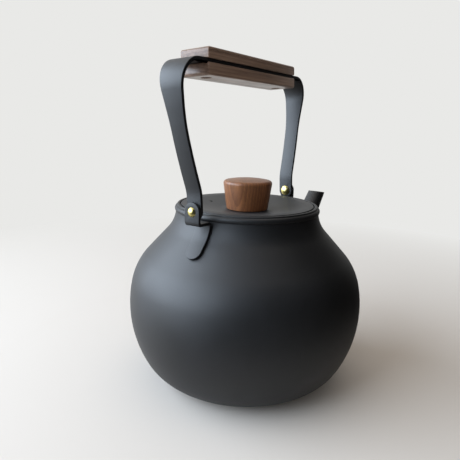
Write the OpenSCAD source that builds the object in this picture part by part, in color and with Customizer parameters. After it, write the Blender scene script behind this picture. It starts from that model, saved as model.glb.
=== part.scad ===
// Bellied kettle-shaped teapot with a riveted strap bail, a walnut grip and a walnut lid knob.
// Millimetres, +Z up. The origin is the centre of the flat base, and the spout points along +X.
// Every bent or turned outline is a track: straight runs and tangent arcs, walked from a start.

/* [Pot] */
// Outer radius of the neck, just under the bead
neck_r = 53; // [50:0.5:56]
// Radius of the hollow curve from the neck into the shoulder
neck_curve_r = 25.2; // [22:0.2:30]
// Lean of the shoulder from upright, in degrees
shoulder_lean = 42.5; // [40:0.5:46]
// Length of the straight stretch of the shoulder
shoulder_run = 22.9; // [18:0.1:28]
// Radius of the upper belly
upper_belly_r = 45.3; // [40:0.1:50]
// Turn of the upper belly, in degrees
upper_belly_turn = 30.4; // [27:0.1:34]
// Radius of the lower belly
belly_r = 84.7; // [78:0.1:92]
// Turn of the lower belly, in degrees
belly_turn = 40.3; // [37:0.1:44]
// Radius of the curve from the belly into the flat base
foot_r = 36.9; // [33:0.1:41]
// Thickness of the pot's wall
wall = 2.5; // [1.6:0.1:3.2]
// Radius of the bead round the mouth
bead_r = 2.4; // [2.1:0.1:2.7]
// How far the bead stands out from the neck
bead_out = 1; // [0.6:0.1:1.4]
// How far the middle of the bead lies below the top of the neck
bead_drop = 0.9; // [0.6:0.1:1.2]
// How far the lip above the bead stands in from the neck
lip_in = 0.6; // [0.4:0.1:0.9]
// Thickness of the lip
lip_t = 2.2; // [2:0.1:2.5]
// Height of the lip above the top of the neck
lip_h = 2.5; // [2.2:0.1:3]
// Depth of the lid's seat below the top of the lip
seat_drop = 1.4; // [1.3:0.1:1.6]
// Width of the lid's seat inside the lip
seat_w = 2.4; // [2:0.1:2.8]

/* [Spout] */
// How far the middle of the spout's mouth stands out from the belly
spout_out = 44.1; // [38:0.1:50]
// How far the middle of the spout's mouth lies below the top of the neck
spout_drop = 2.9; // [0:0.1:8]
// Rise of the spout from level, in degrees
spout_rise = 45; // [40:1:50]
// Outer radius of the spout at its mouth
spout_tip_r = 7.4; // [6.4:0.1:8.4]
// Outer radius of the spout at its root
spout_root_r = 10.6; // [9.5:0.1:11.5]
// Thickness of the spout's wall
spout_wall = 1.8; // [1.2:0.1:2.2]
// Slope of the mouth's cut from level, in degrees
mouth_slope = 10; // [4:1:20]

/* [Ears] */
// Width of the ear strip
ear_w = 11.6; // [10.6:0.1:12.6]
// Thickness of the ear strip
ear_t = 2; // [1.6:0.1:2.4]
// Height of the ear's round top above the rivet
ear_rise = 6.2; // [5.8:0.1:7]
// Middle radius of the ear's bends
ear_bend_r = 2; // [1.8:0.1:2.4]
// How far round the neck's curve the tongue starts, in degrees
ear_neck_turn = 13; // [12:1:16]
// Length of the tongue on the straight of the shoulder
tongue_run = 12.5; // [9:0.5:16]

/* [Handle strap] */
// Height of the rivets above the top of the neck
pivot_rise = 5.4; // [4.6:0.2:7]
// Gap between the bead and the strap
strap_gap = 8.9; // [7.5:0.1:10.5]
// Thickness of the strap
strap_t = 2.4; // [2:0.1:2.8]
// Width of the strap on its legs
strap_w = 11.2; // [10.2:0.2:12.2]
// Width of the strap where it enters the grip
strap_top_w = 20; // [17:0.2:21]
// Upright length of a leg above its rivet
leg_rise = 9.1; // [7:0.1:12]
// Middle radius of the bend above the ear
leg_bend_r = 20; // [15:1:25]
// Outward lean of a leg above that bend, in degrees
leg_lean = 20; // [17:0.5:22]
// Radius of the long bow of a leg
leg_bow_r = 348; // [320:1:370]
// Turn of the long bow, in degrees
leg_bow_turn = 10; // [9:0.1:11]
// Middle radius of the bend beside the grip
corner_r = 15; // [13:0.1:18]
// Length of a leg's top over which the strap widens
flare_h = 46; // [36:1:52]
// Lean of the handle at rest, about its rivets, in degrees
bail_lean = 3.5; // [0:0.5:8]

/* [Grip] */
// Length of the grip
grip_len = 117; // [110:1:122]
// Width of the grip
grip_w = 21.9; // [21.2:0.1:24]
// Thickness of the upper half
grip_upper_h = 6.7; // [6:0.1:8]
// Thickness of the lower half
grip_lower_h = 7.6; // [7:0.1:9]
// Rounding of the grip's long outer edges
grip_edge_r = 1.2; // [0.8:0.1:2]
// Rounding of the grip's outer end edges
grip_end_r = 2; // [1:0.1:2.5]
// Distance between the two grip screws
grip_screw_span = 94; // [80:1:100]

/* [Lid] */
// Gap between the lid's edge and the lip round it
lid_gap = 0.9; // [0.6:0.1:1.1]
// Thickness of the lid plate
lid_t = 1.2; // [1:0.1:1.6]
// Width of the level ring round the lid's hollow
lid_ring_w = 3.2; // [3:0.1:4]
// Depth of the lid's hollow
dish_depth = 4.2; // [2.5:0.1:5]
// Slope of the hollow's side, in degrees
dish_slope = 10; // [9:0.5:14]
// Middle radius of the bends at both ends of that slope
dish_bend_r = 20; // [8:1:24]
// Height of the collar under the lid
collar_h = 12; // [8:0.5:15]
// Thickness of the collar
collar_t = 1.2; // [1:0.1:1.6]
// Gap between the collar and the seat's edge
collar_gap = 0.9; // [0.6:0.1:1.4]
// Radius of the steam vent
vent_r = 1.3; // [1:0.1:1.8]
// Distance of the vent from the middle of the lid
vent_dist = 32.4; // [26:0.2:38]
// Direction of the vent from the spout, in degrees
vent_dir = 92; // [60:1:120]

/* [Knob] */
// Radius of the knob's foot
knob_foot_r = 15.6; // [14:0.1:17]
// Rounding of the foot's edge
knob_foot_round = 1.2; // [0.6:0.1:1.8]
// Outward lean of the knob's side, in degrees
knob_flare = 8; // [5:0.5:10]
// Length of the knob's side
knob_side = 18; // [14:0.1:21]
// Rounding of the knob's top edge
knob_edge_r = 2.4; // [1.6:0.1:3]
// Slope of the knob's crown at its edge, in degrees
knob_crown = 11; // [7:1:14]

/* [Rivets and screws] */
// Radius of a rivet's shank
rivet_r = 2; // [1.7:0.1:2.2]
// Radius of the rivet's head inside the strap
rivet_inner_head_r = 4; // [3.5:0.1:4.5]
// Radius of the rivet's head outside the ear
rivet_outer_head_r = 3.1; // [2.8:0.1:3.6]
// Height of both rivet heads
rivet_head_h = 1.6; // [1.2:0.1:1.8]
// Radius of the spacer on the rivet
spacer_r = 4.6; // [4:0.1:5.2]
// Thickness of the spacer
spacer_t = 0.5; // [0.4:0.1:0.8]
// Radius of a grip screw's thread
grip_screw_r = 1.7; // [1.4:0.1:2]
// Radius of a grip screw's head
grip_head_r = 2.9; // [2.6:0.1:3.2]
// Height of a grip screw's head
grip_head_h = 1.8; // [1.4:0.1:2.2]
// Depth of the counterbore for a grip screw
grip_bore_depth = 3.2; // [2.6:0.1:3.8]
// Radius of the knob screw's thread
knob_screw_r = 2; // [1.7:0.1:2.4]
// Radius of the knob screw's head
knob_head_r = 3.6; // [3.2:0.1:4]
// Height of the knob screw's head
knob_head_h = 2.4; // [2:0.1:3]
// How deep the knob screw reaches into the knob
knob_screw_reach = 10; // [7:0.5:12]
// Radius of the knob screw's washer
washer_r = 6; // [5:0.1:8]
// Thickness of that washer
washer_t = 0.8; // [0.6:0.1:1.2]

/* [Clearances] */
// Radial play of the strap on its rivet
pivot_fit = 0.06; // [0.03:0.01:0.09]
// Play beside the strap, between rivet head and spacer
pivot_play = 0.1; // [0.08:0.01:0.2]
// Radial play of a fixed shank in its hole
hole_fit = 0.05; // [0.03:0.01:0.1]
// Gap between the lid and the seat it rests on
lid_seat = 0.3; // [0.25:0.05:0.4]
// Gap between the ear's tongue and the shoulder
tongue_seat = 0.05; // [0.03:0.01:0.1]
// Radial gap between a grip screw's head and its counterbore
bore_gap = 0.5; // [0.3:0.1:0.8]

/* [Hidden] */
$fn = 96;

iron_black = [0.16, 0.16, 0.17];
walnut = [0.36, 0.22, 0.15];
brass = [0.85, 0.7, 0.35];
steel = [0.7, 0.7, 0.7];

arc_gap = 0.05;  // largest gap between an arc and its chords
arc_step = 12;   // largest turn between two points of an arc, in degrees
reach = 300;     // a length that always passes right through the part
eps = 0.01;      // overlap of two shapes that are joined

// ---- Tracks. A state is [x, y, heading]; a move is [0, length] or [radius, turn], left turns positive.
function last(list) = list[len(list) - 1];
function run_states(s, length) = [[s.x + length * cos(s.z), s.y + length * sin(s.z), s.z]];
function arc_states(s, r, turn) =
    let (side = sign(turn), step = min(arc_step, 2 * acos(1 - arc_gap / r)),
        steps = max(2, ceil(abs(turn) / step)),
        cx = s.x - side * r * sin(s.z), cy = s.y + side * r * cos(s.z))
    [for (i = [1 : steps]) let (h = s.z + turn * i / steps)
        [cx + side * r * sin(h), cy - side * r * cos(h), h]];
function move_states(s, m) = m[0] == 0 ? run_states(s, m[1]) : arc_states(s, m[0], m[1]);
function walk(s, moves, k = 0) = k == len(moves) ? [] :
    let (part = move_states(s, moves[k])) concat(part, walk(last(part), moves, k + 1));
function track(s, moves) = concat([s], walk(s, moves));
function beside(states, d) = [for (s = states) [s.x - d * sin(s.z), s.y + d * cos(s.z), s.z]];
function points(states) = [for (s = states) [s.x, s.y]];
function reversed(list) = [for (i = [len(list) - 1 : -1 : 0]) list[i]];
function strip(states, t) =
    concat(points(beside(states, t / 2)), reversed(points(beside(states, -t / 2))));
function round_end(s, r) =
    [for (a = [75 : -15 : -75]) [s.x + r * cos(s.z + a), s.y + r * sin(s.z + a)]];
function both_sides(pts) = concat(pts, [for (p = reversed(pts)) [-p.x, p.y]]);
function smooth(t) = let (u = max(0, min(1, t))) u * u * (3 - 2 * u);

// ---- Pot: the outline is walked from the middle of the bead down to the base. The casting is one
// piece; it is made here as a plate and four rings, end to end, so that each is a simple hollow shape.
foot_turn = 90 + shoulder_lean - upper_belly_turn - belly_turn;
neck_moves = [[neck_curve_r, shoulder_lean]];
shoulder_moves = [[0, shoulder_run], [upper_belly_r, -upper_belly_turn]];
belly_moves = [[belly_r, -belly_turn]];
foot_moves = [[foot_r, -foot_turn]];
pot_moves = concat(neck_moves, shoulder_moves, belly_moves, foot_moves);
neck_z = -last(track([neck_r, 0, -90], pot_moves)).y;
pot_track = track([neck_r, neck_z, -90], pot_moves);
neck_track = track(pot_track[0], neck_moves);
shoulder_track = track(last(neck_track), shoulder_moves);
belly_track = track(last(shoulder_track), belly_moves);
foot_track = track(last(belly_track), foot_moves);
pot_r = max([for (s = pot_track) s.x]);
bead_outer_r = neck_r + bead_out;
bead_mid_r = bead_outer_r - bead_r;
bead_z = neck_z - bead_drop;

// ---- Mouth: over the lip, down to the lid's seat, and back out under the seat into the wall.
lip_round = 0.9;   // rounding of both upper edges of the lip
seat_round = 0.4;  // rounding of the seat's edges and of the corner behind it
seat_edge = 0.4;   // straight height of the seat's inner edge
seat_under = 50;   // turn into the sloping underside of the seat, in degrees
lip_r = neck_r - lip_in;
lip_inner_r = lip_r - lip_t;
lip_top_z = neck_z + lip_h;
seat_r = lip_inner_r - seat_w;
seat_z = lip_top_z - seat_drop;
lip_track = track([lip_r, bead_z, 90], [[0, lip_top_z - lip_round - bead_z], [lip_round, 90],
    [0, lip_t - 2 * lip_round], [lip_round, 90], [0, seat_drop - lip_round - seat_round],
    [seat_round, -90], [0, seat_w - 2 * seat_round], [seat_round, 90], [0, seat_edge],
    [seat_round, seat_under], [0, (seat_w + lip_t / 3) / sin(seat_under)]]);

// ---- Spout: its axis lies in the plane of the handle, through the middle of the mouth.
spout_mouth = [pot_r + spout_out, 0, neck_z - spout_drop];
spout_overrun = 16;    // how far behind the belly the tube starts before it is trimmed
spout_back = (spout_out + spout_overrun) / cos(spout_rise);
spout_front = 3 * spout_tip_r;
spout_weld_lip = 0.4;  // how far the trimmed tube stands into the pot

// ---- Ears and pivots, worked out from the neck outwards.
pivot_z = neck_z + pivot_rise;
strap_x = bead_outer_r + strap_gap + strap_t / 2;
spacer_x = strap_x + strap_t / 2 + pivot_play;
ear_x = spacer_x + spacer_t + ear_t / 2;
inner_head_x = strap_x - strap_t / 2 - pivot_play;
outer_head_x = ear_x + ear_t / 2;
tongue_on_pot = track(last(arc_states([neck_r, neck_z, -90], neck_curve_r, ear_neck_turn)),
    [[neck_curve_r, shoulder_lean - ear_neck_turn], [0, tongue_run]]);
tongue = beside(tongue_on_pot, tongue_seat + ear_t / 2);
tongue_bend = beside([tongue[0]], ear_bend_r)[0];
shelf_z = tongue_bend.y + ear_bend_r;
shelf_run = ear_x - ear_bend_r - tongue_bend.x;
ear_top_z = pivot_z + ear_rise;
ear_track = concat(
    track([ear_x, ear_top_z, -90], [[0, ear_top_z - shelf_z - ear_bend_r], [ear_bend_r, -90],
        [0, shelf_run], [ear_bend_r, 90 + ear_neck_turn]]),
    [for (i = [1 : len(tongue) - 1]) tongue[i]]);

// ---- Handle: one leg is walked from its rivet to the flat under the grip.
corner_turn = 90 + leg_lean - leg_bow_turn;
leg_track = track([strap_x, pivot_z - strap_w / 2, 90], [[0, strap_w / 2 + leg_rise],
    [leg_bend_r, -leg_lean], [leg_bow_r, leg_bow_turn], [corner_r, corner_turn]]);
bail_z = last(leg_track).y;
grip_screw_up = grip_upper_h - grip_end_r;

// ---- Lid: its level ring lies on the seat inside the lip, and its hollow carries the knob.
lid_r = lip_inner_r - lid_gap;
lid_z = seat_z + lid_seat;
collar_r = seat_r - collar_gap;
dish_run = (dish_depth - 2 * dish_bend_r * (1 - cos(dish_slope))) / sin(dish_slope);
dish_w = dish_run * cos(dish_slope) + 2 * dish_bend_r * sin(dish_slope);
dish_z = lid_z - dish_depth;
dish_top_z = dish_z + lid_t;
lid_track = track([0, dish_z + lid_t / 2, 0], [[0, lid_r - lid_t / 2 - lid_ring_w - dish_w],
    [dish_bend_r, dish_slope], [0, dish_run], [dish_bend_r, -dish_slope], [0, lid_ring_w]]);

module along_y(w) {
    rotate([90, 0, 0]) linear_extrude(height = w, center = true) children();
}

module along_x(w) {
    rotate([90, 0, 90]) linear_extrude(height = w, center = true) children();
}

module pin_x(r, from_x, to_x) {
    translate([from_x, 0, 0]) rotate([0, 90, 0]) cylinder(r = r, h = to_x - from_x);
}

module leaned() {
    translate([0, 0, pivot_z]) rotate([-bail_lean, 0, 0]) translate([0, 0, -pivot_z]) children();
}

// Cuts the square end of a strip, which lies along +Y from the middle of its end arc, to a half round.
module end_round(w) {
    difference() {
        translate([-w, 0, -w]) cube([2 * w, w, 2 * w]);
        cylinder(r = w / 2, h = 3 * w, center = true);
    }
}

// The room inside the pot, drawn back from its inner face by the given gap.
module pot_room(gap) {
    skin = beside(pot_track, -wall - gap);
    rotate_extrude() polygon(concat([[0, neck_z]], points(skin), [[0, last(skin).y]]));
}

module spout_cone(grow) {
    slope = (spout_root_r - spout_tip_r) / spout_back;
    translate(spout_mouth) rotate([0, 90 - spout_rise, 0]) translate([0, 0, -spout_back])
        cylinder(r1 = spout_root_r + grow, r2 = spout_tip_r + grow - slope * spout_front,
            h = spout_back + spout_front);
}

// One ring of the pot's wall, turned from a stretch of the outline.
module pot_ring(states) {
    rotate_extrude() polygon(concat(points(states), reversed(points(beside(states, -wall)))));
}

module pot_base() {
    color(iron_black) cylinder(r = last(foot_track).x, h = wall);
}

module pot_foot() {
    color(iron_black) pot_ring(foot_track);
}

module pot_belly() {
    color(iron_black) difference() {
        pot_ring(belly_track);
        spout_cone(hole_fit);
    }
}

module pot_shoulder() {
    color(iron_black) difference() {
        pot_ring(shoulder_track);
        spout_cone(hole_fit);
    }
}

module pot_neck() {
    color(iron_black) union() {
        pot_ring(neck_track);
        rotate_extrude() polygon(points(lip_track));
        rotate_extrude() intersection() {
            translate([bead_mid_r, bead_z]) circle(r = bead_r);
            translate([bead_mid_r, 0]) square(reach);
        }
    }
}

module spout_tube() {
    color(iron_black) difference() {
        spout_cone(0);
        spout_cone(-spout_wall);
        pot_room(spout_weld_lip);
        translate(spout_mouth) rotate([0, mouth_slope, 0]) translate([-reach / 2, -reach / 2, 0])
            cube(reach);
    }
}

module ear() {
    tip = last(tongue);
    difference() {
        along_y(ear_w) polygon(strip(ear_track, ear_t));
        translate([ear_x, 0, ear_top_z - ear_w / 2]) rotate([90, 0, 90]) end_round(ear_w);
        translate([tip.x, 0, tip.y]) rotate([0, -tip.z, 0]) translate([-ear_w / 2, 0, 0])
            rotate([0, 0, -90]) end_round(ear_w);
        translate([0, 0, pivot_z]) pin_x(rivet_r + hole_fit, strap_x, reach);
    }
}

module spout_ear() {
    color(iron_black) ear();
}

module rear_ear() {
    color(iron_black) mirror([1, 0, 0]) ear();
}

// A low dome of the given radius and height, standing on its flat face.
module rivet_head(r) {
    ball_r = (r * r + rivet_head_h * rivet_head_h) / (2 * rivet_head_h);
    rotate_extrude() intersection() {
        translate([0, rivet_head_h - ball_r]) circle(r = ball_r);
        square([r, rivet_head_h]);
    }
}

module rivet() {
    translate([0, 0, pivot_z]) {
        pin_x(rivet_r, inner_head_x - eps, outer_head_x + eps);
        translate([inner_head_x, 0, 0]) rotate([0, -90, 0]) rivet_head(rivet_inner_head_r);
        translate([outer_head_x, 0, 0]) rotate([0, 90, 0]) rivet_head(rivet_outer_head_r);
    }
}

module spout_side_rivet() {
    color(brass) rivet();
}

module rear_rivet() {
    color(brass) mirror([1, 0, 0]) rivet();
}

module pivot_spacers() {
    color(brass) for (side = [0, 1]) mirror([side, 0, 0]) translate([0, 0, pivot_z]) difference() {
        pin_x(spacer_r, spacer_x, spacer_x + spacer_t);
        pin_x(rivet_r + hole_fit, strap_x, reach);
    }
}

module grip_screw_places() {
    for (side = [-1, 1]) translate([side * grip_screw_span / 2, 0, bail_z]) children();
}

module strap_front() {
    steps = 20;
    top = bail_z + strap_t;
    base = top - flare_h;
    side = [for (i = [0 : steps]) let (t = i / steps)
        [strap_w / 2 + (strap_top_w - strap_w) / 2 * smooth(t * 0.87), base + flare_h * t]];
    polygon(both_sides(concat([[strap_w / 2, pivot_z]], side)));
    translate([0, pivot_z]) circle(r = strap_w / 2);
}

module bail_strap() {
    outer = points(beside(leg_track, -strap_t / 2));
    inner = points(beside(leg_track, strap_t / 2));
    color(iron_black) leaned() difference() {
        intersection() {
            along_y(reach) polygon(concat(both_sides(outer), reversed(both_sides(inner))));
            along_x(reach) strap_front();
        }
        translate([0, 0, pivot_z]) pin_x(rivet_r + pivot_fit, -reach, reach);
        grip_screw_places() cylinder(r = grip_screw_r + hole_fit, h = 2 * strap_t, center = true);
    }
}

// A bar's section or side, w wide and h high, with its two upper corners rounded.
module bar_outline(w, h, r) {
    translate([-w / 2, 0]) square([w, h - r]);
    translate([r - w / 2, 0]) square([w - 2 * r, h]);
    for (side = [-1, 1]) translate([side * (w / 2 - r), h - r]) circle(r = r);
}

module grip_bar(h) {
    translate([0, 0, strap_t / 2]) intersection() {
        along_x(reach) bar_outline(grip_w, h, grip_edge_r);
        along_y(reach) bar_outline(grip_len, h, grip_end_r);
    }
}

module grip_upper() {
    color(walnut) leaned() difference() {
        translate([0, 0, bail_z]) grip_bar(grip_upper_h);
        grip_screw_places() cylinder(r = grip_screw_r + hole_fit, h = strap_t / 2 + grip_screw_up);
    }
}

module grip_lower() {
    color(walnut) leaned() difference() {
        translate([0, 0, bail_z]) mirror([0, 0, 1]) grip_bar(grip_lower_h);
        grip_screw_places() mirror([0, 0, 1]) {
            cylinder(r = grip_screw_r + hole_fit, h = reach);
            translate([0, 0, strap_t / 2 + grip_lower_h - grip_bore_depth])
                cylinder(r = grip_head_r + bore_gap, h = reach);
        }
    }
}

module grip_screws() {
    seat = strap_t / 2 + grip_lower_h - grip_bore_depth;
    color(steel) leaned() grip_screw_places() {
        translate([0, 0, -seat - eps])
            cylinder(r = grip_screw_r, h = seat + eps + strap_t / 2 + grip_screw_up - hole_fit);
        translate([0, 0, -seat - grip_head_h]) cylinder(r = grip_head_r, h = grip_head_h);
    }
}

module lid_disc() {
    color(iron_black) difference() {
        rotate_extrude() polygon(concat(points(beside(lid_track, lid_t / 2)),
            round_end(last(lid_track), lid_t / 2), reversed(points(beside(lid_track, -lid_t / 2)))));
        cylinder(r = knob_screw_r + hole_fit, h = reach);
        rotate([0, 0, vent_dir]) translate([vent_dist, 0, 0]) cylinder(r = vent_r, h = reach);
    }
}

module lid_collar() {
    color(iron_black) translate([0, 0, lid_z - collar_h]) rotate_extrude()
        translate([collar_r - collar_t, 0]) square([collar_t, collar_h]);
}

module lid_knob() {
    rise = track([0, 0, 0], [[0, knob_foot_r - knob_foot_round], [knob_foot_round, 90 - knob_flare],
        [0, knob_side], [knob_edge_r, 90 + knob_flare - knob_crown]]);
    crown_r = last(rise).x / sin(knob_crown);
    turned = concat(rise, arc_states(last(rise), crown_r, knob_crown));
    color(walnut) translate([0, 0, dish_top_z]) difference() {
        rotate_extrude() polygon(points(turned));
        translate([0, 0, -eps]) cylinder(r = knob_screw_r + hole_fit, h = knob_screw_reach + 1);
    }
}

module knob_screw() {
    seat_z = dish_z - washer_t;
    color(steel) {
        translate([0, 0, seat_z - eps])
            cylinder(r = knob_screw_r, h = dish_top_z + knob_screw_reach - seat_z + eps);
        translate([0, 0, seat_z - knob_head_h]) cylinder(r = knob_head_r, h = knob_head_h);
    }
}

module knob_washer() {
    color(steel) translate([0, 0, dish_z - washer_t]) difference() {
        cylinder(r = washer_r, h = washer_t);
        translate([0, 0, -eps]) cylinder(r = knob_screw_r + hole_fit, h = washer_t + 2 * eps);
    }
}

pot_base();
pot_foot();
pot_belly();
pot_shoulder();
pot_neck();
spout_tube();
spout_ear();
rear_ear();
spout_side_rivet();
rear_rivet();
pivot_spacers();
bail_strap();
grip_upper();
grip_lower();
grip_screws();
lid_disc();
lid_collar();
lid_knob();
knob_screw();
knob_washer();
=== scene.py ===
"""Dresses the CAD frame of a bellied iron teapot: pot, spout, strap handle, walnut grip, lid and knob."""

import math

import bpy
from bpy.props import FloatProperty, FloatVectorProperty, IntProperty, PointerProperty
from mathutils import Matrix, Quaternion, Vector


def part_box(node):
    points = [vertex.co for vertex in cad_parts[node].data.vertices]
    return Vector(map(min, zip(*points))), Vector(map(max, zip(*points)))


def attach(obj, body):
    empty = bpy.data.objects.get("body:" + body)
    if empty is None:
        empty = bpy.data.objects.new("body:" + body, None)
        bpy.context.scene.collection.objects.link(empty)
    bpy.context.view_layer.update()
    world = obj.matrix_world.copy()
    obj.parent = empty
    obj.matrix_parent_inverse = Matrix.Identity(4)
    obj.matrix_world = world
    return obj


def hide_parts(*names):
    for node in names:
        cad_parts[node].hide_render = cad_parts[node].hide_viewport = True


bl_info = {
    "name": "Iron Teapot Pieces",
    "version": (1, 0, 0),
    "blender": (4, 5, 0),
    "location": "3D View > Sidebar > Teapot",
    "description": "Builds the visible pieces of an iron teapot round its CAD frame",
    "category": "Add Mesh",
}

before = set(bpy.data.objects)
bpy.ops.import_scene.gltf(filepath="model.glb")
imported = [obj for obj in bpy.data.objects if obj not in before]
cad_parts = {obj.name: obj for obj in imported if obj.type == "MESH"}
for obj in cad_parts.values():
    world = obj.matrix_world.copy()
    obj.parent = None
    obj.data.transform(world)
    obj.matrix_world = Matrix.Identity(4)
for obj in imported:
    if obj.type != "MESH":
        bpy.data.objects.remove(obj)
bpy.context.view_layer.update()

MM = 0.001
POT_NODES = ("pot_base", "pot_foot", "pot_belly", "pot_shoulder", "pot_neck")  # the casting, in rings
ARC_STEP = math.radians(3)  # largest turn between two points of a drawn arc
MERGE = 0.5e-6  # points closer than this are one point
CUT_GROW = 0.02 * MM  # how much wider than the pipe the hole in the pot is cut
VENT_DRILL = 20 * MM  # length of the drill that cuts the vent
TRIANGLES_LEVEL = math.radians(0.4)  # CAD triangles closer to level than this are one face
SHARP_EDGE = math.radians(40)  # edges of a CAD copy sharper than this are rounded
EDGE_STEPS = 3  # faces across a rounded edge
CREASE = math.radians(35)  # edges sharper than this show as a crease

CAMERA_BEARING = math.radians(30.963)  # direction from the camera to the pot, from +X
PALE_BEARING = CAMERA_BEARING + math.radians(45)  # where the room is palest in reflections
PALE_SPREAD = (-0.1, 0.6)  # cosines of the angle from there between which it goes from dark to pale
FLOOR_SIZE = 12.0
FADE_SEEN = (0.2, 0.62)  # metres from the pot between which the floor fades into the background
FADE_REFLECTED = (0.05, 0.26)  # the same in reflections
ROOM_LIGHT = 0.32
LAMPS = (  # name, place, size, watts and colour
    ("window_lamp", (-0.74, 0.78, 0.60), (1.9, 1.12), 46, "DDEDFF"),
    ("sky_lamp", (0.1, 0.1, 1.6), (1.6, 1.6), 8, "FFF6EC"),
)
LAMP_AIM = Vector((0, 0, 0.1))


def linear(code):
    """Turns an sRGB hex colour, such as 6B4A38, into the linear values that shaders take."""
    parts = [int(code[i : i + 2], 16) / 255 for i in (0, 2, 4)]
    return tuple(c / 12.92 if c <= 0.04045 else ((c + 0.055) / 1.055) ** 2.4 for c in parts) + (1.0,)


def length(name, text, mm):
    """A size in millimetres, stored in metres."""
    return FloatProperty(
        name=name, description=text, default=mm * MM, min=0, precision=5, subtype="DISTANCE", unit="LENGTH"
    )


def angle(name, text, degrees):
    """An angle in degrees, stored in radians."""
    return FloatProperty(
        name=name, description=text, default=math.radians(degrees), subtype="ANGLE", unit="ROTATION"
    )


def colour(name, text, code):
    """A surface colour, written as sRGB hex."""
    return FloatVectorProperty(
        name=name, description=text, default=linear(code), size=4, min=0, max=1, subtype="COLOR"
    )


class PotSizes(bpy.types.PropertyGroup):
    """Sizes of the pot's outline, which is a chain of tangent arcs."""

    neck_r: length("Neck radius", "Outer radius of the neck under the bead", 53)
    neck_curve_r: length("Neck curve", "Radius of the hollow curve from neck to shoulder", 25.2)
    shoulder_lean: angle("Shoulder lean", "Lean of the shoulder from upright", 42.5)
    shoulder_run: length("Shoulder run", "Length of the straight of the shoulder", 22.9)
    upper_belly_r: length("Upper belly", "Radius of the upper belly", 45.3)
    upper_belly_turn: angle("Upper belly turn", "How far the upper belly turns", 30.4)
    belly_r: length("Belly", "Radius of the lower belly", 84.7)
    belly_turn: angle("Belly turn", "How far the lower belly turns", 40.3)
    foot_r: length("Foot", "Radius of the curve into the flat base", 36.9)
    wall: length("Wall", "Thickness of the wall", 2.5)
    bead_r: length("Bead", "Radius of the bead round the mouth", 2.4)
    bead_out: length("Bead stand-out", "How far the bead stands out from the neck", 1)
    bead_drop: length("Bead drop", "How far the middle of the bead lies below the top of the neck", 0.9)
    lip_in: length("Lip inset", "How far the lip stands in from the neck", 0.6)
    lip_t: length("Lip", "Thickness of the lip above the bead", 2.2)
    lip_h: length("Lip height", "Height of the lip above the top of the neck", 2.5)
    lip_round: length("Lip round", "Rounding of the lip's upper edges", 0.9)
    seat_drop: length("Seat drop", "Depth of the lid's seat below the lip", 1.4)
    seat_w: length("Seat", "Width of the lid's seat", 2.4)
    seat_edge: length("Seat edge", "Straight height of the seat's inner edge", 0.4)
    seat_round: length("Seat round", "Rounding of the seat's edges", 0.4)
    seat_under: angle("Seat underside", "Turn into the sloping underside of the seat", 50)
    turns: IntProperty(
        name="Steps round", description="Steps round a turned piece", default=160, min=48, max=256
    )


class SpoutSizes(bpy.types.PropertyGroup):
    """Sizes of the straight, tapered spout."""

    out: length("Reach", "How far the mouth stands out from the belly", 44.1)
    drop: length("Drop", "How far the mouth lies below the top of the neck", 2.9)
    overrun: length("Overrun", "How far behind the belly the pipe starts before it is trimmed", 16)
    rise: angle("Rise", "Rise of the spout from level", 45)
    tip_r: length("Tip radius", "Outer radius at the mouth", 7.4)
    root_r: length("Root radius", "Outer radius at the root", 10.6)
    wall: length("Wall", "Thickness of the spout's wall", 1.8)
    lip_r: length("Lip", "Rounding of the mouth's edges", 0.4)
    stub: length("Stub", "How far the trimmed pipe stands into the pot", 0.4)
    mouth_slope: angle("Mouth slope", "Slope of the mouth's cut from level", 10)
    weld_r: length("Weld", "Radius of the brazed seam round the root", 1.3)


class HandleSizes(bpy.types.PropertyGroup):
    """Edge rounds of the bent strips and of the grip, and the handle's lean."""

    ear_round: length("Ear edge", "Rounding of the ear strip's edges", 0.4)
    strap_round: length("Strap edge", "Rounding of the strap's edges", 0.35)
    grip_round: length("Grip edge", "Rounding of the grip's ends and inner edges", 0.7)
    lean: angle("Lean", "Lean of the handle at rest", 3.5)
    screw_head_r: length("Screw head", "Radius of a grip screw's head", 2.9)
    screw_head_h: length("Screw head height", "Height of a grip screw's head", 1.8)
    screw_r: length("Screw thread", "Radius of a grip screw's thread", 1.7)


class LidSizes(bpy.types.PropertyGroup):
    """Sizes of the hollowed lid plate and its turned knob."""

    radius: length("Lid radius", "Radius of the lid plate", 49.3)
    plate: length("Plate", "Thickness of the plate", 1.2)
    ring_w: length("Ring", "Width of the level ring round the hollow", 3.2)
    dish_depth: length("Hollow", "Depth of the hollow", 4.2)
    dish_slope: angle("Hollow slope", "Slope of the hollow's side", 10)
    dish_bend_r: length("Hollow bend", "Middle radius of the hollow's bends", 20)
    edge_r: length("Lid edge", "Rounding of the plate's edge", 0.45)
    collar_round: length("Collar edge", "Rounding of the collar's edges", 0.3)
    vent_r: length("Vent", "Radius of the steam vent", 1.3)
    vent_dist: length("Vent distance", "Distance of the vent from the middle", 32.4)
    vent_dir: angle("Vent direction", "Direction of the vent from the spout", 92)
    knob_foot_r: length("Knob foot", "Radius of the knob's foot", 15.6)
    knob_foot_round: length("Foot edge", "Rounding of the foot's edge", 1.2)
    knob_flare: angle("Knob flare", "Outward lean of the knob's side", 8)
    knob_side: length("Knob side", "Length of the knob's side", 18)
    knob_edge_r: length("Knob edge", "Rounding of the knob's top edge", 2.4)
    knob_crown: angle("Knob crown", "Slope of the crown at its edge", 11)
    screw_head_r: length("Screw head", "Radius of the knob screw's head", 3.6)
    screw_head_h: length("Screw head height", "Height of the knob screw's head", 2.4)
    screw_r: length("Screw thread", "Radius of the knob screw's thread", 2)


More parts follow.
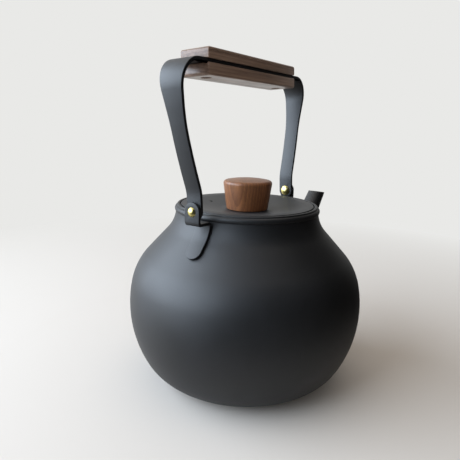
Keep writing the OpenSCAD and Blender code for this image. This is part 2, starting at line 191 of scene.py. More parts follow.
class Finishes(bpy.types.PropertyGroup):
    """Colours of the teapot's finishes and of the stage."""

    coat: colour("Coating", "Black of the sprayed coating", "121213")
    coat_worn: colour("Coating, thin", "Black where the coating is thinner", "161618")
    coat_speck: colour("Coating speck", "Grey of the coating's fine specks", "2C2D2F")
    grip: colour("Grip walnut", "Ground colour of the grip's walnut", "755D4E")
    grip_pale: colour("Grip walnut, pale", "Early wood of the grip's walnut", "8A7160")
    grip_dark: colour("Grip walnut, dark", "Late wood and pores of the grip's walnut", "42342D")
    knob: colour("Knob walnut", "Ground colour of the knob's redder walnut", "75482C")
    knob_pale: colour("Knob walnut, pale", "Early wood of the knob's walnut", "8E5C38")
    knob_dark: colour("Knob walnut, dark", "Late wood and pores of the knob's walnut", "362015")
    brass: colour("Brass", "Polished rivet brass", "E2D184")
    steel: colour("Steel", "Screws and washers", "B9B8B4")
    floor: colour("Floor", "Plain pale floor", "CDC4BA")
    backdrop: colour("Backdrop", "Plain pale background", "E9E9E7")


# ---- Drawing. An open end is (x, z, heading) in the plane y = 0; a move is (0, length) for a straight
# ---- and (radius, turn) for an arc, with left turns positive.


def after(end, move):
    """Where the open end is after a move."""
    x, z, heading = end
    radius, amount = move
    if radius == 0:
        return (x + amount * math.cos(heading), z + amount * math.sin(heading), heading)
    side = math.copysign(radius, amount)
    turned = heading + amount
    return (
        x + side * (math.sin(turned) - math.sin(heading)),
        z - side * (math.cos(turned) - math.cos(heading)),
        turned,
    )


def begin(name, x, z):
    """Starts a mesh as a single point and leaves it in edit mode."""
    bpy.ops.object.select_all(action="DESELECT")
    bpy.ops.mesh.primitive_plane_add(size=MM, location=(0, 0, 0))
    piece = bpy.context.object
    piece.name = name
    bpy.ops.object.mode_set(mode="EDIT")
    bpy.ops.mesh.select_mode(type="VERT")
    bpy.ops.mesh.select_all(action="SELECT")
    bpy.ops.mesh.merge(type="CENTER")
    piece.data.update()
    bpy.ops.transform.translate(value=(x, 0, z))
    return piece


def draw(end, moves):
    """Extrudes and spins the selected point along the moves, and returns where it ends."""
    for radius, amount in moves:
        x, z, heading = end
        reached = after(end, (radius, amount))
        if radius == 0:
            bpy.ops.mesh.extrude_region_move(
                TRANSFORM_OT_translate={"value": (reached[0] - x, 0, reached[1] - z)}
            )
        else:
            side = math.copysign(radius, amount)
            bpy.ops.mesh.spin(
                steps=max(2, math.ceil(abs(amount) / ARC_STEP)),
                angle=abs(amount),
                center=(x - side * math.sin(heading), 0, z + side * math.cos(heading)),
                axis=(0, math.copysign(1, amount), 0),
            )
        end = reached
    return end


def lathe(turns):
    """Spins the drawn outline once round the upright axis, closes it and turns its faces outwards."""
    bpy.ops.mesh.select_all(action="SELECT")
    bpy.ops.mesh.spin(steps=turns, angle=math.tau, center=(0, 0, 0), axis=(0, 0, 1))
    bpy.ops.mesh.select_all(action="SELECT")
    bpy.ops.mesh.remove_doubles(threshold=MERGE)
    bpy.ops.mesh.normals_make_consistent(inside=False)
    bpy.ops.object.mode_set(mode="OBJECT")


def take(piece):
    """Makes a piece the only one selected."""
    bpy.ops.object.select_all(action="DESELECT")
    piece.select_set(True)
    bpy.context.view_layer.objects.active = piece


def modify(piece, kind, **settings):
    """Adds a modifier with these settings and applies it."""
    take(piece)
    modifier = piece.modifiers.new(kind.title(), kind)
    for name, value in settings.items():
        setattr(modifier, name, value)
    bpy.ops.object.modifier_apply(modifier=modifier.name)


def cut(piece, tool):
    """Cuts a piece with another mesh, which is then thrown away."""
    modify(piece, "BOOLEAN", object=tool, operation="DIFFERENCE", solver="EXACT")
    bpy.data.objects.remove(tool)


def bevel_where(piece, chosen, width, segments=EDGE_STEPS):
    """Bevels the edges whose two ends both pass the given test."""
    take(piece)
    bpy.ops.object.mode_set(mode="EDIT")
    bpy.ops.mesh.select_mode(type="EDGE")
    bpy.ops.mesh.select_all(action="DESELECT")
    bpy.ops.object.mode_set(mode="OBJECT")
    points = piece.data.vertices
    for edge in piece.data.edges:
        edge.select = all(chosen(points[i].co) for i in edge.vertices)
    bpy.ops.object.mode_set(mode="EDIT")
    bpy.ops.mesh.bevel(offset=width, segments=segments, affect="EDGES")
    bpy.ops.object.mode_set(mode="OBJECT")


def settle(piece, body, material, replaces=()):
    """Gives a finished piece its smooth shading, its finish and its body, and hides the nodes it stands for.
    """
    take(piece)
    bpy.ops.object.transform_apply(location=True, rotation=True, scale=True)
    bpy.ops.object.shade_smooth_by_angle(angle=CREASE)
    piece.data.materials.clear()
    piece.data.materials.append(material)
    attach(piece, body)
    if replaces:
        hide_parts(*replaces)


def rounded_copy(node, name, width):
    """Copies a CAD node, joins its loose triangles into clean faces and rounds its sharp edges."""
    bpy.ops.object.select_all(action="DESELECT")
    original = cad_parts[node]
    piece = original.copy()
    piece.data = original.data.copy()
    piece.name = name
    piece.parent = None
    for key in [key for key in piece.keys() if key.startswith("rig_")]:
        del piece[key]  # a CAD node's marks, which the copy does not keep
    bpy.context.scene.collection.objects.link(piece)
    take(piece)
    bpy.ops.object.mode_set(mode="EDIT")
    bpy.ops.mesh.select_all(action="SELECT")
    bpy.ops.mesh.remove_doubles(threshold=MERGE)
    bpy.ops.mesh.dissolve_limited(angle_limit=TRIANGLES_LEVEL)
    bpy.ops.object.mode_set(mode="OBJECT")
    modify(
        piece,
        "BEVEL",
        width=width,
        segments=EDGE_STEPS,
        limit_method="ANGLE",
        angle_limit=SHARP_EDGE,
        use_clamp_overlap=False,
    )
    return piece


# ---- Materials.


def add_node(tree, kind, inputs=(), **settings):
    """Adds a node with its settings. Its inputs are given by name or number, or in order. Each is set to
    a value or linked: to a socket, or to the first one that another node gives out."""
    node = tree.nodes.new(kind)
    for name, value in settings.items():
        setattr(node, name, value)
    for name, value in inputs.items() if isinstance(inputs, dict) else enumerate(inputs):
        if isinstance(value, bpy.types.Node):
            value = value.outputs[0]
        if isinstance(value, bpy.types.NodeSocket):
            tree.links.new(value, node.inputs[name])
        else:
            node.inputs[name].default_value = value
    return node


def new_material(name):
    """A material with an empty node tree, and the object's own coordinates."""
    material = bpy.data.materials.new(name)
    material.use_nodes = True
    tree = material.node_tree
    tree.nodes.clear()
    place = add_node(tree, "ShaderNodeTexCoord").outputs["Object"]
    return material, tree, place


def layered(tree, shade, *layers):
    """Lays colours over a first one. A layer is a pattern, its two values between which the colour comes in,
    how strongly the colour covers what lies under it, and the colour."""
    for pattern, low, high, cover, tone in layers:
        weight = add_node(tree, "ShaderNodeMapRange", (pattern, low, high, 0, cover))
        shade = add_node(tree, "ShaderNodeMix", {0: weight, 6: shade, 7: tone}, data_type="RGBA").outputs[2]
    return shade


def shaded(material, inputs):
    """Gives a material its shader with these inputs, and hands it back finished."""
    shader = add_node(material.node_tree, "ShaderNodeBsdfPrincipled", inputs)
    add_node(material.node_tree, "ShaderNodeOutputMaterial", {"Surface": shader})
    return material


def satin_black_sprayed_iron(looks):
    """Pressed iron sprayed with heat-cured black: its fine dry grain spreads every light into a soft glow."""
    material, tree, place = new_material("satin_black_sprayed_iron")
    cloud = add_node(tree, "ShaderNodeTexNoise", {"Vector": place, "Scale": 1 / (38 * MM), "Detail": 2})
    speck = add_node(tree, "ShaderNodeTexNoise", {"Vector": place, "Scale": 1 / (0.9 * MM), "Detail": 1})
    grain = add_node(  # real grit is 0.2 mm, too fine to show
        tree, "ShaderNodeTexNoise", {"Vector": place, "Scale": 1 / (1.1 * MM), "Detail": 4, "Roughness": 0.7}
    )
    shade = layered(
        tree,
        tuple(looks.coat),
        (cloud, 0.35, 0.65, 1, tuple(looks.coat_worn)),
        (speck, 0.68, 0.74, 0.35, tuple(looks.coat_speck)),
    )
    rough = add_node(tree, "ShaderNodeMapRange", (cloud, 0.3, 0.7, 0.5, 0.56))
    bump = add_node(tree, "ShaderNodeBump", {"Height": grain, "Strength": 0.35, "Distance": 0.06 * MM})
    return shaded(material, {"Base Color": shade, "Roughness": rough, "Normal": bump, "IOR": 1.6})


RING_STRETCH = (1, 1, 0.12)  # growth lines run 8 times as far along the grain as across it
FIBRE_STRETCH = (1, 1, 0.035)  # and fibres and pores 29 times
GRIP_FIGURE, KNOB_FIGURE = 0.45, 0.42  # how strongly the lines of the wood show
GRIP_GLOSS, KNOB_GLOSS = (0.28, 0.35), (0.36, 0.44)  # ranges of roughness


def oiled_walnut(name, tones, turn, pith, figure, gloss):
    """Walnut cut, sanded and oiled: dark growth lines along the grain, fine pores and a low sheen.
    tones are its ground, pale and dark colours, turn lays the grain along Z in the pattern, pith is where the
    tree's middle lies, figure is how strongly its lines show, and gloss is its range of roughness."""
    material, tree, place = new_material(name)
    wood, pale, dark = (tuple(tone) for tone in tones)
    laid = add_node(tree, "ShaderNodeMapping", {"Vector": place, "Rotation": turn, "Location": pith})
    waver = add_node(tree, "ShaderNodeTexNoise", {"Vector": laid, "Scale": 1 / (22 * MM), "Detail": 2})
    spread = add_node(tree, "ShaderNodeVectorMath", (laid, RING_STRETCH), operation="MULTIPLY")
    ring_scale = math.tau / 20 / (2.1 * MM)  # rings 2.1 mm apart: at scale 1 a wave repeats after tau / 20
    rings = add_node(
        tree,
        "ShaderNodeTexWave",
        {"Vector": spread, "Scale": ring_scale, "Distortion": 5.5, "Detail": 2.5, "Detail Scale": 0.25},
        wave_type="RINGS",
        rings_direction="Z",
        wave_profile="SAW",
    ).outputs["Fac"]
    thin = add_node(tree, "ShaderNodeVectorMath", (laid, FIBRE_STRETCH), operation="MULTIPLY")
    streak = add_node(tree, "ShaderNodeTexNoise", {"Vector": thin, "Scale": 1 / (3.2 * MM), "Detail": 2})
    fibre = add_node(  # real fibres and pores are 0.1 to 0.2 mm, too fine to show
        tree, "ShaderNodeTexNoise", {"Vector": thin, "Scale": 1 / (0.55 * MM), "Detail": 3, "Roughness": 0.6}
    )
    pits = add_node(tree, "ShaderNodeTexNoise", {"Vector": thin, "Scale": 1 / (0.42 * MM), "Detail": 1})
    pore = add_node(tree, "ShaderNodeMapRange", (pits, 0.64, 0.72))
    shade = layered(
        tree,
        pale,
        (rings, 0.1, 0.95, 1, wood),
        (streak, 0.42, 0.72, figure, dark),
        (fibre, 0.42, 0.7, 0.8 * figure, dark),
        (pore, 0, 1, figure, dark),
    )
    rough = add_node(tree, "ShaderNodeMapRange", (waver, 0.3, 0.7, *gloss))
    height = add_node(tree, "ShaderNodeMath", (fibre, pore), operation="SUBTRACT")
    bump = add_node(tree, "ShaderNodeBump", {"Height": height, "Strength": 0.3, "Distance": 0.05 * MM})
    return shaded(material, {"Base Color": shade, "Roughness": rough, "Normal": bump, "IOR": 1.47})


def hammered_brass(looks):
    """Solid brass set with a hammer and polished by use: bright, with shallow dents."""
    material, tree, place = new_material("hammered_brass")
    dents = add_node(tree, "ShaderNodeTexNoise", {"Vector": place, "Scale": 1 / (2.2 * MM), "Detail": 1})
    haze = add_node(tree, "ShaderNodeTexNoise", {"Vector": place, "Scale": 1 / (1.0 * MM), "Detail": 2})
    rough = add_node(tree, "ShaderNodeMapRange", (haze, 0.3, 0.7, 0.26, 0.36))
    bump = add_node(tree, "ShaderNodeBump", {"Height": dents, "Strength": 0.2, "Distance": 0.15 * MM})
    return shaded(
        material, {"Base Color": tuple(looks.brass), "Metallic": 1, "Roughness": rough, "Normal": bump}
    )


def turned_steel(looks):
    """Plain turned steel of screws and washers: grey, with an uneven, satin gleam."""
    material, tree, place = new_material("turned_steel")
    marks = add_node(tree, "ShaderNodeTexNoise", {"Vector": place, "Scale": 1 / (0.7 * MM), "Detail": 2})
    rough = add_node(tree, "ShaderNodeMapRange", (marks, 0.3, 0.7, 0.28, 0.4))
    return shaded(material, {"Base Color": tuple(looks.steel), "Metallic": 1, "Roughness": rough})


def finish(name, make, *values):
    """The named material, made the first time it is asked for."""
    return bpy.data.materials.get(name) or make(*values)


def iron():
    """The finish of the pot, the spout, the ears, the strap and the lid."""
    return finish("satin_black_sprayed_iron", satin_black_sprayed_iron, bpy.context.scene.teapot_finishes)


def brass():
    """The finish of the rivets and spacers."""
    return finish("hammered_brass", hammered_brass, bpy.context.scene.teapot_finishes)


def steel():
    """The finish of the screws and the knob's washer."""
    return finish("turned_steel", turned_steel, bpy.context.scene.teapot_finishes)


# ---- The pot's outline, shared by the pot, the spout and the seam between them.


def shell_moves(pot, inset):
    """Moves down the pot's side from the neck to the base, drawn inside the outer face by the inset."""
    foot_turn = math.radians(90) + pot.shoulder_lean - pot.upper_belly_turn - pot.belly_turn
    return [
        (pot.neck_curve_r + inset, pot.shoulder_lean),
        (0, pot.shoulder_run),
        (pot.upper_belly_r - inset, -pot.upper_belly_turn),
        (pot.belly_r - inset, -pot.belly_turn),
        (pot.foot_r - inset, -foot_turn),
    ]


def base_radius(pot):
    """Radius of the pot's flat base."""
    end = (pot.neck_r, 0, math.radians(-90))
    for move in shell_moves(pot, 0):
        end = after(end, move)
    return end[0]


def neck_height():
    """Height of the top of the neck, where the outline of the pot starts."""
    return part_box("pot_neck")[1].z - bpy.context.scene.teapot_pot.lip_h


def triangle_angle(near, far, opposite):
    """Angle between two sides of a triangle, from its three side lengths."""
    return math.acos((near * near + far * far - opposite * opposite) / (2 * near * far))


def reach_circle(start, heading, centre, radius):
    """Distance from a point, along its heading, to the first crossing of a circle."""
    x, z = start[0] - centre[0], start[1] - centre[1]
    along = x * math.cos(heading) + z * math.sin(heading)
    return -along - math.sqrt(along * along - (x * x + z * z - radius * radius))


def spout_line():
    """Middle of the spout's mouth, the spout's direction, and its length from the mouth back to its root."""
    spout = bpy.context.scene.teapot_spout
    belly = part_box("pot_belly")[1].y
    mouth = Vector((belly + spout.out, 0, neck_height() - spout.drop))
    direction = Vector((math.cos(spout.rise), 0, math.sin(spout.rise)))
    return mouth, direction, (spout.out + spout.overrun) / math.cos(spout.rise)


def spout_cone(grow):
    """The spout's cone, longer than the pipe at both ends, with its radius changed by the given amount."""
    spout = bpy.context.scene.teapot_spout
    mouth, direction, back = spout_line()
    front = 3 * spout.tip_r  # past the mouth, where the pipe is cut off at a slope
    slope = (spout.root_r - spout.tip_r) / back
    bpy.ops.object.select_all(action="DESELECT")
    bpy.ops.mesh.primitive_cone_add(
        vertices=96,
        radius1=spout.root_r + grow,
        radius2=spout.tip_r + grow - slope * front,
        depth=back + front,
        location=mouth + direction * (front - back) / 2,
        rotation=(0, math.radians(90) - spout.rise, 0),
    )
    cone = bpy.context.object
    bpy.ops.object.transform_apply(location=True, rotation=True, scale=True)
    return cone


class TEAPOT_OT_pot(bpy.types.Operator):
    """Turns the pot with its bead, lip and lid seat, brazes the spout's seam and opens the hole under it"""

    bl_idname = "teapot.pot"
    bl_label = "Add Pot"

    def execute(self, context):
        pot = context.scene.teapot_pot
        up = math.radians(90)
        # the bead meets the neck's curve at these angles from the middles of both, and ends at the lip
        curve_x = pot.neck_r + pot.neck_curve_r
        bead_mid_r = pot.neck_r + pot.bead_out - pot.bead_r
        gap = math.hypot(curve_x - bead_mid_r, pot.bead_drop)
        tilt = math.atan2(pot.bead_drop, curve_x - bead_mid_r)
        neck_cut = triangle_angle(gap, pot.neck_curve_r, pot.bead_r) + tilt
        bead_start = tilt - triangle_angle(gap, pot.bead_r, pot.neck_curve_r)
        bead_end = math.acos((pot.neck_r - pot.lip_in - bead_mid_r) / pot.bead_r)
        # the pot's side, drawn from the base up to the bead
        outside = [(r, -amount) if r else (r, amount) for r, amount in reversed(shell_moves(pot, 0))]
        outside[-1] = (pot.neck_curve_r, -(pot.shoulder_lean - neck_cut))

        shell = begin("pot_shell", 0, 0)
        end = draw((0, 0, 0), [(0, base_radius(pot)), *outside])
        end = draw((end[0], end[1], up + bead_start), [(pot.bead_r, bead_end - bead_start)])
        top_z = neck_height() + pot.lip_h
        lip = [
            (0, top_z - pot.lip_round - end[1]),
            (pot.lip_round, up),
            (0, pot.lip_t - 2 * pot.lip_round),
            (pot.lip_round, up),
            (0, pot.seat_drop - pot.lip_round - pot.seat_round),
            (pot.seat_round, -up),
            (0, pot.seat_w - 2 * pot.seat_round),
            (pot.seat_round, up),
            (0, pot.seat_edge),
            (pot.seat_round, pot.seat_under),
        ]
        end = draw((end[0], end[1], up), lip)
        inner_curve_r = pot.neck_curve_r + pot.wall
        run = reach_circle(end, end[2], (curve_x, neck_height()), inner_curve_r)
        end = draw(end, [(0, run)])
        inner_cut = math.asin((neck_height() - end[1]) / inner_curve_r)
        inside = shell_moves(pot, pot.wall)
        inside[0] = (inner_curve_r, pot.shoulder_lean - inner_cut)
        draw((end[0], end[1], inner_cut - up), [*inside, (0, base_radius(pot))])
        lathe(pot.turns)

        weld = self.weld(context, shell)
        cut(shell, spout_cone(CUT_GROW))
        settle(shell, "pot", iron(), replaces=POT_NODES)
        settle(weld, "pot", iron())
        return {"FINISHED"}

    def weld(self, context, shell):
        """Lays a round seam where the spout's skin meets the belly, found along each line of the cone."""
        spout = context.scene.teapot_spout
        mouth, direction, back = spout_line()
        up = Vector((-direction.z, 0, direction.x))
        across = Vector((0, 1, 0))
        points = 48
        path = []
        for i in range(points):
            turn = math.tau * i / points
            spoke = up * math.cos(turn) + across * math.sin(turn)
            start = mouth + spoke * spout.tip_r
            root = mouth - direction * back + spoke * spout.root_r
            hit, place, _, _ = shell.ray_cast(start, (root - start).normalized())
            if not hit:
                raise RuntimeError("the spout misses the belly")
            path.append(place)
        bpy.ops.object.select_all(action="DESELECT")
        bpy.ops.curve.primitive_bezier_circle_add(radius=spout.root_r)
        seam = bpy.context.object
        seam.name = "spout_seam"
        spline = seam.data.splines[0]
        spline.bezier_points.add(points - len(spline.bezier_points))
        for point, place in zip(spline.bezier_points, path):
            point.co = place
            point.handle_left_type = point.handle_right_type = "AUTO"
        seam.data.resolution_u = 3
        seam.data.bevel_depth = spout.weld_r
        seam.data.bevel_resolution = 4
        bpy.ops.object.convert(target="MESH")
        return bpy.context.object


class TEAPOT_OT_spout(bpy.types.Operator):
    """Makes the tapered pipe, trims its root inside the pot and rounds the lip of its sloping mouth"""

    bl_idname = "teapot.spout"
    bl_label = "Add Spout"

    def execute(self, context):
        pot, spout = context.scene.teapot_pot, context.scene.teapot_spout
        pipe = spout_cone(0)
        pipe.name = "spout_pipe"
        cut(pipe, spout_cone(-spout.wall))

        inset = pot.wall + spout.stub
        room = begin("pot_room", 0, neck_height())
        end = draw((0, neck_height(), 0), [(0, pot.neck_r - inset)])
        draw((end[0], end[1], math.radians(-90)), [*shell_moves(pot, inset), (0, base_radius(pot))])
        lathe(pot.turns)
        cut(pipe, room)

        mouth = spout_line()[0]
        normal = Vector((math.sin(spout.mouth_slope), 0, math.cos(spout.mouth_slope)))
        take(pipe)
        bpy.ops.object.mode_set(mode="EDIT")
        bpy.ops.mesh.select_all(action="SELECT")
        bpy.ops.mesh.bisect(plane_co=mouth, plane_no=normal, use_fill=True, clear_outer=True)
        bpy.ops.object.mode_set(mode="OBJECT")
        bevel_where(pipe, lambda point: abs((point - mouth).dot(normal)) < MERGE, spout.lip_r)
        settle(pipe, "pot", iron(), replaces=("spout_tube",))
        return {"FINISHED"}


class TEAPOT_OT_ears(bpy.types.Operator):
    """Bends both ear strips with softly rounded edges, and finishes the rivets and spacers"""

    bl_idname = "teapot.ears"
    bl_label = "Add Ears and Rivets"

    def execute(self, context):
        handle = context.scene.teapot_handle
        for node in ("spout_ear", "rear_ear"):
            strip = rounded_copy(node, node + "_strip", handle.ear_round)
            settle(strip, "pot", iron(), replaces=(node,))
        for node in ("spout_side_rivet", "rear_rivet", "pivot_spacers"):
            dress_node(node, brass())
        return {"FINISHED"}


def dress_node(node, material):
    """Gives a CAD node that stays its material."""
    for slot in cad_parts[node].material_slots:
        slot.material = material


class TEAPOT_OT_handle(bpy.types.Operator):
    """Makes the strap and both halves of the grip with their rounded edges"""

    bl_idname = "teapot.handle"
    bl_label = "Add Handle"

    def execute(self, context):
        handle = context.scene.teapot_handle
        strap = rounded_copy("bail_strap", "bail_bar", handle.strap_round)
        settle(strap, "bail", iron(), replaces=("bail_strap",))
        looks = context.scene.teapot_finishes
        tones = (looks.grip, looks.grip_pale, looks.grip_dark)
        along_x = (0, math.radians(90), 0)
        for node, name, pith in (
            ("grip_upper", "grip_top_half", (0.05, 0.012, 0)),
            ("grip_lower", "grip_bottom_half", (0.02, -0.03, 0.04)),
        ):
            half = rounded_copy(node, name, handle.grip_round)
            label = "oiled_walnut_" + name
            wood = finish(label, oiled_walnut, label, tones, along_x, pith, GRIP_FIGURE, GRIP_GLOSS)
            settle(half, "bail", wood, replaces=(node,))
        return {"FINISHED"}


class TEAPOT_OT_lid(bpy.types.Operator):
    """Turns the hollowed lid plate with its vent, and the collar under it"""

    bl_idname = "teapot.lid"
    bl_label = "Add Lid"

    def execute(self, context):
        lid = context.scene.teapot_lid
        bottom_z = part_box("lid_disc")[0].z
        half = lid.plate / 2
        bend_in, bend_out = lid.dish_bend_r + half, lid.dish_bend_r - half
        bend_rise = lid.dish_bend_r * (1 - math.cos(lid.dish_slope))
        slope_run = (lid.dish_depth - 2 * bend_rise) / math.sin(lid.dish_slope)
        slope_w = slope_run * math.cos(lid.dish_slope) + 2 * lid.dish_bend_r * math.sin(lid.dish_slope)
        floor_r = lid.radius - half - lid.ring_w - slope_w
        ring_w = lid.ring_w + half - lid.edge_r
        plate = begin("lid_plate", 0, bottom_z)
        draw(
            (0, bottom_z, 0),
            [
                (0, floor_r),
                (bend_in, lid.dish_slope),
                (0, slope_run),
                (bend_out, -lid.dish_slope),
                (0, ring_w),
                (lid.edge_r, math.radians(90)),
                (0, lid.plate - 2 * lid.edge_r),
                (lid.edge_r, math.radians(90)),
                (0, ring_w),
                (bend_in, lid.dish_slope),
                (0, slope_run),
                (bend_out, -lid.dish_slope),
                (0, floor_r),
            ],
        )
        lathe(context.scene.teapot_pot.turns)
        middle = Vector((math.cos(lid.vent_dir), math.sin(lid.vent_dir), 0)) * lid.vent_dist
        bpy.ops.object.select_all(action="DESELECT")
        bpy.ops.mesh.primitive_cylinder_add(
            vertices=32, radius=lid.vent_r, depth=VENT_DRILL, location=middle + Vector((0, 0, bottom_z))
        )
        cut(plate, bpy.context.object)
        settle(plate, "lid", iron(), replaces=("lid_disc",))
        collar = rounded_copy("lid_collar", "lid_collar_ring", lid.collar_round)
        settle(collar, "lid", iron(), replaces=("lid_collar",))
        dress_node("knob_washer", steel())
        return {"FINISHED"}


class TEAPOT_OT_knob(bpy.types.Operator):
    """Turns the walnut knob, its grain upright"""

    bl_idname = "teapot.knob"
    bl_label = "Add Knob"

    def execute(self, context):
        lid = context.scene.teapot_lid
        foot_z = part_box("lid_knob")[0].z
        knob = begin("turned_knob", 0, foot_z)
        end = draw(
            (0, foot_z, 0),
            [
                (0, lid.knob_foot_r - lid.knob_foot_round),
                (lid.knob_foot_round, math.radians(90) - lid.knob_flare),
                (0, lid.knob_side),
                (lid.knob_edge_r, math.radians(90) + lid.knob_flare - lid.knob_crown),
            ],
        )
        draw(end, [(end[0] / math.sin(lid.knob_crown), lid.knob_crown)])
        lathe(context.scene.teapot_pot.turns)
        looks = context.scene.teapot_finishes
        tones = (looks.knob, looks.knob_pale, looks.knob_dark)
        label = "oiled_walnut_knob"
        turn, pith = (0, 0, 0.6), (0.03, 0.022, 0)
        wood = finish(label, oiled_walnut, label, tones, turn, pith, KNOB_FIGURE, KNOB_GLOSS)
        settle(knob, "lid", wood, replaces=("lid_knob",))
        return {"FINISHED"}


HEAD_ROUND = 0.55  # rounding of a screw's head, as a share of its height
CROSS_LONG, CROSS_WIDE = 1.1, 0.22  # sizes of the cross, as shares of the head's radius


def screw(name, head_r, head_h, thread_r, seat, tip):
    """A pan-head screw pointing up from its seat, with a cross cut in its head."""
    bpy.ops.object.select_all(action="DESELECT")
    bpy.ops.mesh.primitive_cylinder_add(
        vertices=64, radius=head_r, depth=head_h, location=seat - Vector((0, 0, head_h / 2))
    )
    head = bpy.context.object
    head.name = name
    bpy.ops.object.transform_apply(location=True, rotation=True, scale=True)
    low = seat.z - head_h
    bevel_where(head, lambda point: abs(point.z - low) < MERGE, head_h * HEAD_ROUND, segments=6)
    for turn in (0, math.radians(90)):
        bpy.ops.object.select_all(action="DESELECT")
        bpy.ops.mesh.primitive_cube_add(
            size=1,
            location=seat - Vector((0, 0, head_h)),
            rotation=(0, 0, turn),
            scale=(head_r * CROSS_LONG, head_r * CROSS_WIDE, head_h),
        )
        cut(head, bpy.context.object)
    take(head)
    bpy.ops.object.mode_set(mode="EDIT")
    bpy.ops.mesh.select_all(action="DESELECT")
    bpy.ops.mesh.primitive_cylinder_add(
        vertices=48, radius=thread_r, depth=tip, location=seat + Vector((0, 0, tip / 2))
    )
    bpy.ops.object.mode_set(mode="OBJECT")
    return head


class TEAPOT_OT_screws(bpy.types.Operator):
    """Makes the two grip screws and the knob screw"""

    bl_idname = "teapot.screws"
    bl_label = "Add Screws"

    def execute(self, context):
        handle, lid = context.scene.teapot_handle, context.scene.teapot_lid
        pivot = (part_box("spout_side_rivet")[0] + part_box("spout_side_rivet")[1]) / 2
        pivot.x = 0
        lean = (
            Matrix.Translation(pivot) @ Matrix.Rotation(-handle.lean, 4, "X") @ Matrix.Translation(-pivot)
        )
        upright = lean.inverted()
        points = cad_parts["grip_screws"].data.vertices
        heights = [(upright @ point.co).z for point in points]
        seat_z = min(heights) + handle.screw_head_h
        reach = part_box("grip_screws")[1].x - handle.screw_head_r
        for side, name in ((-1, "grip_screw_rear"), (1, "grip_screw_front")):
            seat = Vector((side * reach, 0, seat_z))
            piece = screw(
                name, handle.screw_head_r, handle.screw_head_h, handle.screw_r, seat, max(heights) - seat_z
            )
            piece.data.transform(lean)
            settle(piece, "bail", steel(), replaces=("grip_screws",))
        seat_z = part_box("knob_screw")[0].z + lid.screw_head_h
        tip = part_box("knob_screw")[1].z - seat_z
        seat = Vector((0, 0, seat_z))
        piece = screw("lid_screw", lid.screw_head_r, lid.screw_head_h, lid.screw_r, seat, tip)
        settle(piece, "lid", steel(), replaces=("knob_screw",))
        return {"FINISHED"}


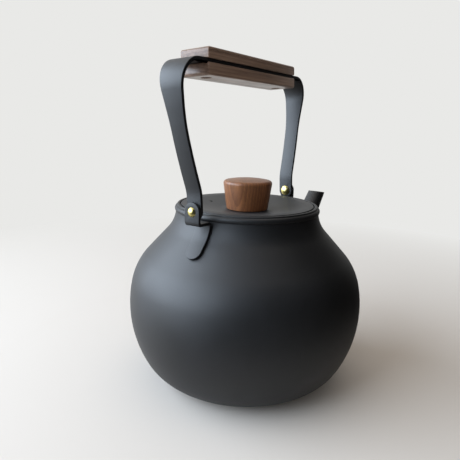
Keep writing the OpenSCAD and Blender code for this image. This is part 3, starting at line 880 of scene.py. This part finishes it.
class TEAPOT_OT_stage(bpy.types.Operator):
    """Sets out the plain pale floor, the background, the soft lamps and the camera"""

    bl_idname = "teapot.stage"
    bl_label = "Add Stage"

    def execute(self, context):
        looks = context.scene.teapot_finishes
        self.camera(context)
        self.floor(looks)
        self.background(context, looks)
        for lamp in LAMPS:
            self.lamp(*lamp)
        context.scene.view_settings.view_transform = "Standard"
        return {"FINISHED"}

    def camera(self, context):
        """Stands the camera in front of the rear ear, a little above the lid."""
        height, distance = 194.25 * MM, 349.19 * MM
        focal = 470.11 / 460  # focal length, as a share of the picture's width
        yaw, pitch, roll = (math.radians(a) for a in (2.036, 12.995, 1.419))
        data = bpy.data.cameras.new("camera")
        data.sensor_width = 36
        data.lens = data.sensor_width * focal
        camera = bpy.data.objects.new("camera", data)
        context.scene.collection.objects.link(camera)
        look = CAMERA_BEARING + yaw
        ahead = Vector((math.cos(look) * math.cos(pitch), math.sin(look) * math.cos(pitch), -math.sin(pitch)))
        camera.rotation_mode = "QUATERNION"
        camera.rotation_quaternion = ahead.to_track_quat("-Z", "Y") @ Quaternion((0, 0, 1), roll)
        camera.location = (-distance * math.cos(CAMERA_BEARING), -distance * math.sin(CAMERA_BEARING), height)
        context.scene.camera = camera

    def floor(self, looks):
        """A large plain floor at the height of the pot's base, which fades into the background."""
        bpy.ops.object.select_all(action="DESELECT")
        bpy.ops.mesh.primitive_plane_add(size=FLOOR_SIZE, location=(0, 0, 0))
        ground = bpy.context.object
        ground.name = "floor"
        material, tree, place = new_material("matt_painted_floor")
        paint = add_node(
            tree, "ShaderNodeBsdfPrincipled", {"Base Color": tuple(looks.floor), "Roughness": 0.9}
        )
        far = add_node(tree, "ShaderNodeVectorMath", (place,), operation="LENGTH").outputs["Value"]
        away = add_node(tree, "ShaderNodeVectorMath", (place,), operation="NORMALIZE")
        haze = self.shown(tree, "ShaderNodeEmission", looks, away)
        glossy = add_node(tree, "ShaderNodeLightPath").outputs["Is Glossy Ray"]
        start, end = (
            add_node(tree, "ShaderNodeMapRange", (glossy, 0, 1, *ends))
            for ends in zip(FADE_SEEN, FADE_REFLECTED)
        )
        fade = add_node(tree, "ShaderNodeMapRange", (far, start, end))
        faded = add_node(tree, "ShaderNodeMixShader", (fade, paint, haze))
        whole = add_node(tree, "ShaderNodeMixShader", (self.seen(tree), paint, faded))
        add_node(tree, "ShaderNodeOutputMaterial", {"Surface": whole})
        ground.data.materials.append(material)

    def background(self, context, looks):
        """A pale background for the eye, for glossy rays and for glass, and a plain light for the rest."""
        world = bpy.data.worlds.new("plain_background")
        context.scene.world = world
        world.use_nodes = True
        tree = world.node_tree
        tree.nodes.clear()
        seen = self.seen(tree)
        light = add_node(tree, "ShaderNodeBackground", {"Color": (1, 1, 1, 1), "Strength": ROOM_LIGHT})
        outward = add_node(tree, "ShaderNodeTexCoord").outputs["Generated"]
        shown = self.shown(tree, "ShaderNodeBackground", looks, outward)
        mixed = add_node(tree, "ShaderNodeMixShader", (seen, light, shown))
        add_node(tree, "ShaderNodeOutputWorld", {"Surface": mixed})

    def shown(self, tree, kind, looks, outward):
        """The pale background, which in reflections is dark behind the camera and on its right."""
        pale_side = (math.cos(PALE_BEARING), math.sin(PALE_BEARING), 0)
        facing = add_node(tree, "ShaderNodeVectorMath", (outward, pale_side), operation="DOT_PRODUCT")
        room = add_node(tree, "ShaderNodeMapRange", (facing.outputs["Value"], *PALE_SPREAD))
        glossy = add_node(tree, "ShaderNodeLightPath").outputs["Is Glossy Ray"]
        strength = add_node(tree, "ShaderNodeMix", {0: glossy, 2: 1, 3: room})
        return add_node(tree, kind, {"Color": tuple(looks.backdrop), "Strength": strength})

    def seen(self, tree):
        """1 for rays that show the background: the camera's, and those through glass or off a gloss."""
        rays = add_node(tree, "ShaderNodeLightPath")
        seen = rays.outputs["Is Camera Ray"]
        for kind in ("Is Glossy Ray", "Is Transmission Ray"):
            seen = add_node(tree, "ShaderNodeMath", (seen, rays.outputs[kind]), operation="MAXIMUM")
        return seen

    def lamp(self, name, place, size, power, code):
        """A soft rectangular lamp aimed at the middle of the pot."""
        data = bpy.data.lights.new(name, "AREA")
        data.shape = "RECTANGLE"
        data.size, data.size_y = size
        data.energy = power
        data.color = linear(code)[:3]
        lamp = bpy.data.objects.new(name, data)
        bpy.context.scene.collection.objects.link(lamp)
        lamp.location = place
        lamp.rotation_mode = "QUATERNION"
        lamp.rotation_quaternion = (LAMP_AIM - Vector(place)).to_track_quat("-Z", "Y")


OPERATORS = (
    TEAPOT_OT_stage,
    TEAPOT_OT_pot,
    TEAPOT_OT_spout,
    TEAPOT_OT_ears,
    TEAPOT_OT_handle,
    TEAPOT_OT_lid,
    TEAPOT_OT_knob,
    TEAPOT_OT_screws,
)

GROUPS = {
    "teapot_pot": PotSizes,
    "teapot_spout": SpoutSizes,
    "teapot_handle": HandleSizes,
    "teapot_lid": LidSizes,
    "teapot_finishes": Finishes,
}


class TEAPOT_PT_pieces(bpy.types.Panel):
    """Lists the teapot's pieces and their sizes"""

    bl_idname = "TEAPOT_PT_pieces"
    bl_label = "Teapot"
    bl_space_type = "VIEW_3D"
    bl_region_type = "UI"
    bl_category = "Teapot"

    def draw(self, context):
        for operator in OPERATORS:
            self.layout.operator(operator.bl_idname)
        for group, kind in GROUPS.items():
            box = self.layout.box()
            box.label(text=kind.__name__)
            for name in kind.__annotations__:
                box.prop(getattr(context.scene, group), name)


def register():
    for kind in (*GROUPS.values(), *OPERATORS, TEAPOT_PT_pieces):
        bpy.utils.register_class(kind)
    for name, kind in GROUPS.items():
        setattr(bpy.types.Scene, name, PointerProperty(type=kind))


def unregister():
    for name in GROUPS:
        delattr(bpy.types.Scene, name)
    for kind in (TEAPOT_PT_pieces, *reversed(OPERATORS), *reversed(GROUPS.values())):
        bpy.utils.unregister_class(kind)


def main():
    """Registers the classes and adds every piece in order."""
    register()
    bpy.ops.teapot.stage()
    bpy.ops.teapot.pot()
    bpy.ops.teapot.spout()
    bpy.ops.teapot.ears()
    bpy.ops.teapot.handle()
    bpy.ops.teapot.lid()
    bpy.ops.teapot.knob()
    bpy.ops.teapot.screws()


if __name__ == "__main__":
    main()
